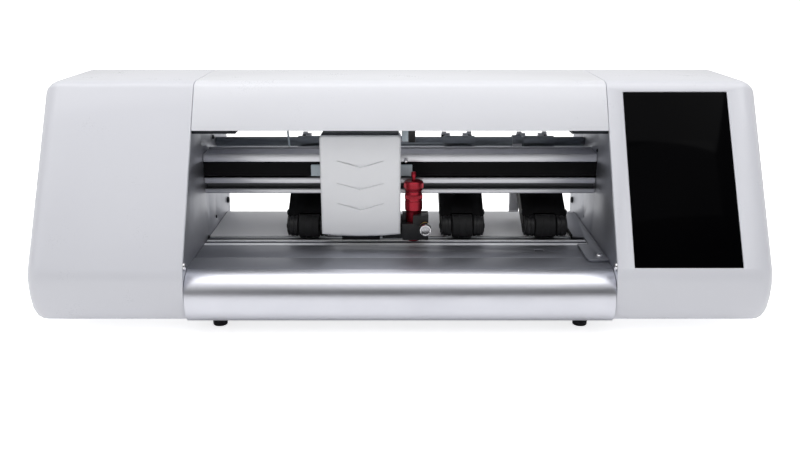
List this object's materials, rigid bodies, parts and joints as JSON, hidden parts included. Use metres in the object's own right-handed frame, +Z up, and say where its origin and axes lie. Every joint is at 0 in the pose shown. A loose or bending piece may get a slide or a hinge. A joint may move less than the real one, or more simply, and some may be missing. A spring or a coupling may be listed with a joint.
{
  "type": "vinyl cutter",
  "caption": "Desktop film and vinyl cutter: rolling-media table between white side pods, belt-driven carriage with drag-knife holder, touch panel on the right.",
  "frame": {"origin": "on the table under the middle of the machine, at the height of the feet", "axes": "+X to the machine's right seen from the front, +Y to its back, +Z up"},
  "size_m": [0.52, 0.185, 0.1712],
  "materials": {
    "gloss_white": "gloss white moulding",
    "satin_aluminium": "satin, bead blasted",
    "steel_sheet": "satin zinc-plated sheet",
    "machined_steel": "ground",
    "dark_metal": "satin black paint",
    "black_plastic": "fine matte moulding",
    "pale_plastic": "natural acetal",
    "rubber": "matte",
    "motor_steel": "black lacquer over laminations",
    "red_anodised": "bright red anodised",
    "brass": "turned",
    "display_glass": "black glass, unlit",
    "board_green": "solder mask",
    "chrome": "polished"
  },
  "bodies": {
    "frame": {"left_side_plate": "satin_aluminium", "right_side_plate": "satin_aluminium", "left_pod_cover": "gloss_white", "right_pod_cover": "gloss_white", "top_cover": "gloss_white", "cover_tab_left": "dark_metal", "cover_tab_right": "dark_metal", "touch_panel": "display_glass", "front_nose": "satin_aluminium", "base_pan": "steel_sheet", "platen": "satin_aluminium", "rear_guide_plate": "satin_aluminium", "cutting_strip": "pale_plastic", "media_sensor": "black_plastic", "edge_guide": "steel_sheet", "foot_front_left": "rubber", "foot_front_right": "rubber", "foot_rear_left": "rubber", "foot_rear_right": "rubber", "gantry_beam": "satin_aluminium", "carriage_belt": "rubber", "carriage_motor": "motor_steel", "idler_bracket": "steel_sheet", "drive_bush_left": "brass", "drive_bush_right": "brass", "feed_motor": "motor_steel", "pinch_bracket_1": "black_plastic", "pinch_bracket_2": "black_plastic", "pinch_bracket_3": "black_plastic", "beam_cable": "pale_plastic", "main_board": "board_green", "power_inlet": "black_plastic", "switch_housing": "black_plastic"},
    "drive_roller": {"drive_roller": "machined_steel", "feed_gear": "brass"},
    "feed_pinion": {"feed_pinion": "machined_steel"},
    "belt_drive_pulley": {"belt_drive_pulley": "satin_aluminium"},
    "belt_idler_pulley": {"belt_idler_pulley": "satin_aluminium"},
    "lift_rod": {"lift_rod": "dark_metal", "lift_lever": "pale_plastic"},
    "carriage": {"carriage_plate": "satin_aluminium", "belt_clamp": "pale_plastic", "carriage_cover": "gloss_white", "lift_coil": "dark_metal"},
    "wheel_left": {"carriage_wheel_left": "pale_plastic"},
    "wheel_right": {"carriage_wheel_right": "pale_plastic"},
    "wheel_low": {"carriage_wheel_low": "pale_plastic"},
    "tool": {"tool_slide": "black_plastic", "blade_holder": "red_anodised"},
    "thumb_screw": {"thumb_screw": "chrome"},
    "holder_cap": {"holder_cap": "red_anodised"},
    "holder_pin": {"holder_pin": "red_anodised"},
    "blade": {"blade": "machined_steel"},
    "switch_rocker": {"switch_rocker": "black_plastic"},
    "pinch_arm_1": {"pinch_arm_1": "black_plastic"},
    "pinch_roller_1": {"pinch_roller_1": "rubber"},
    "pinch_arm_2": {"pinch_arm_2": "black_plastic"},
    "pinch_roller_2": {"pinch_roller_2": "rubber"},
    "pinch_arm_3": {"pinch_arm_3": "black_plastic"},
    "pinch_roller_3": {"pinch_roller_3": "rubber"}
  },
  "joints": [
    {"name": "drive_roller_spin", "type": "hinge", "parent": "frame", "child": "drive_roller", "pos_m": [0, -0.0014, 0.0427], "axis": [1, 0, 0], "continuous": true},
    {"name": "feed_pinion_spin", "type": "hinge", "parent": "frame", "child": "feed_pinion", "pos_m": [-0.161, 0.0136, 0.06868], "axis": [1, 0, 0], "continuous": true},
    {"name": "lift_lever_turn", "type": "hinge", "parent": "frame", "child": "lift_rod", "pos_m": [0, 0.049, 0.114], "axis": [1, 0, 0], "range_deg": [0, 80]},
    {"name": "pinch_arm_1_lift", "type": "hinge", "parent": "frame", "child": "pinch_arm_1", "pos_m": [-0.0705, 0.034, 0.076], "axis": [1, 0, 0], "range_deg": [-7, 0]},
    {"name": "pinch_roller_1_spin", "type": "hinge", "parent": "pinch_arm_1", "child": "pinch_roller_1", "pos_m": [-0.0705, -0.0014, 0.057], "axis": [1, 0, 0], "continuous": true},
    {"name": "pinch_arm_2_lift", "type": "hinge", "parent": "frame", "child": "pinch_arm_2", "pos_m": [0.0483, 0.034, 0.076], "axis": [1, 0, 0], "range_deg": [-7, 0]},
    {"name": "pinch_roller_2_spin", "type": "hinge", "parent": "pinch_arm_2", "child": "pinch_roller_2", "pos_m": [0.0483, -0.0014, 0.057], "axis": [1, 0, 0], "continuous": true},
    {"name": "pinch_arm_3_lift", "type": "hinge", "parent": "frame", "child": "pinch_arm_3", "pos_m": [0.1128, 0.034, 0.076], "axis": [1, 0, 0], "range_deg": [-7, 0]},
    {"name": "pinch_roller_3_spin", "type": "hinge", "parent": "pinch_arm_3", "child": "pinch_roller_3", "pos_m": [0.1128, -0.0014, 0.057], "axis": [1, 0, 0], "continuous": true},
    {"name": "carriage_slide", "type": "slide", "parent": "frame", "child": "carriage", "axis": [1, 0, 0], "range_m": [-0.08, 0.124]},
    {"name": "belt_drive_pulley_spin", "type": "hinge", "parent": "frame", "child": "belt_drive_pulley", "pos_m": [0.178, 0.00325, 0.102], "axis": [0, 0, 1], "continuous": true},
    {"name": "belt_idler_pulley_spin", "type": "hinge", "parent": "frame", "child": "belt_idler_pulley", "pos_m": [-0.168, 0.00325, 0.102], "axis": [0, 0, 1], "continuous": true},
    {"name": "wheel_left_spin", "type": "hinge", "parent": "carriage", "child": "wheel_left", "pos_m": [-0.04915, -0.0035, 0.1209], "axis": [0, 1, 0], "continuous": true},
    {"name": "wheel_right_spin", "type": "hinge", "parent": "carriage", "child": "wheel_right", "pos_m": [-0.00915, -0.0035, 0.1209], "axis": [0, 1, 0], "continuous": true},
    {"name": "wheel_low_spin", "type": "hinge", "parent": "carriage", "child": "wheel_low", "pos_m": [-0.02915, -0.0035, 0.0777], "axis": [0, 1, 0], "continuous": true},
    {"name": "tool_lift", "type": "slide", "parent": "carriage", "child": "tool", "axis": [0, 0, 1], "range_m": [-0.0026, 0]},
    {"name": "thumb_screw_turn", "type": "hinge", "parent": "tool", "child": "thumb_screw", "pos_m": [0.0189, -0.027, 0.0635], "axis": [0, 1, 0], "range_deg": [0, 720]},
    {"name": "holder_cap_turn", "type": "hinge", "parent": "tool", "child": "holder_cap", "pos_m": [0.0103, -0.0174, 0.091], "axis": [0, 0, 1], "range_deg": [-180, 180]},
    {"name": "holder_pin_push", "type": "slide", "parent": "tool", "child": "holder_pin", "axis": [0, 0, 1], "range_m": [-0.0025, 0], "stiffness_N_per_m": 400, "springref_m": 0.0005},
    {"name": "blade_swivel", "type": "hinge", "parent": "tool", "child": "blade", "pos_m": [0.0103, -0.0174, 0.06], "axis": [0, 0, 1], "continuous": true},
    {"name": "power_switch_rock", "type": "hinge", "parent": "frame", "child": "switch_rocker", "pos_m": [0.214, 0.0872, 0.042], "axis": [0, 0, 1], "range_deg": [0, 18]}
  ],
  "couplings": [
    {"joint": "feed_pinion_spin", "follows": "drive_roller_spin", "ratio": -4},
    {"joint": "pinch_arm_1_lift", "follows": "lift_lever_turn", "ratio": -0.0875},
    {"joint": "pinch_roller_1_spin", "follows": "drive_roller_spin", "ratio": -0.55556},
    {"joint": "pinch_arm_2_lift", "follows": "lift_lever_turn", "ratio": -0.0875},
    {"joint": "pinch_roller_2_spin", "follows": "drive_roller_spin", "ratio": -0.55556},
    {"joint": "pinch_arm_3_lift", "follows": "lift_lever_turn", "ratio": -0.0875},
    {"joint": "pinch_roller_3_spin", "follows": "drive_roller_spin", "ratio": -0.55556},
    {"joint": "belt_drive_pulley_spin", "follows": "carriage_slide", "rad_per_m": 166.67},
    {"joint": "belt_idler_pulley_spin", "follows": "carriage_slide", "rad_per_m": 166.67},
    {"joint": "wheel_left_spin", "follows": "carriage_slide", "rad_per_m": 166.67},
    {"joint": "wheel_right_spin", "follows": "carriage_slide", "rad_per_m": 166.67},
    {"joint": "wheel_low_spin", "follows": "carriage_slide", "rad_per_m": -166.67}
  ]
}
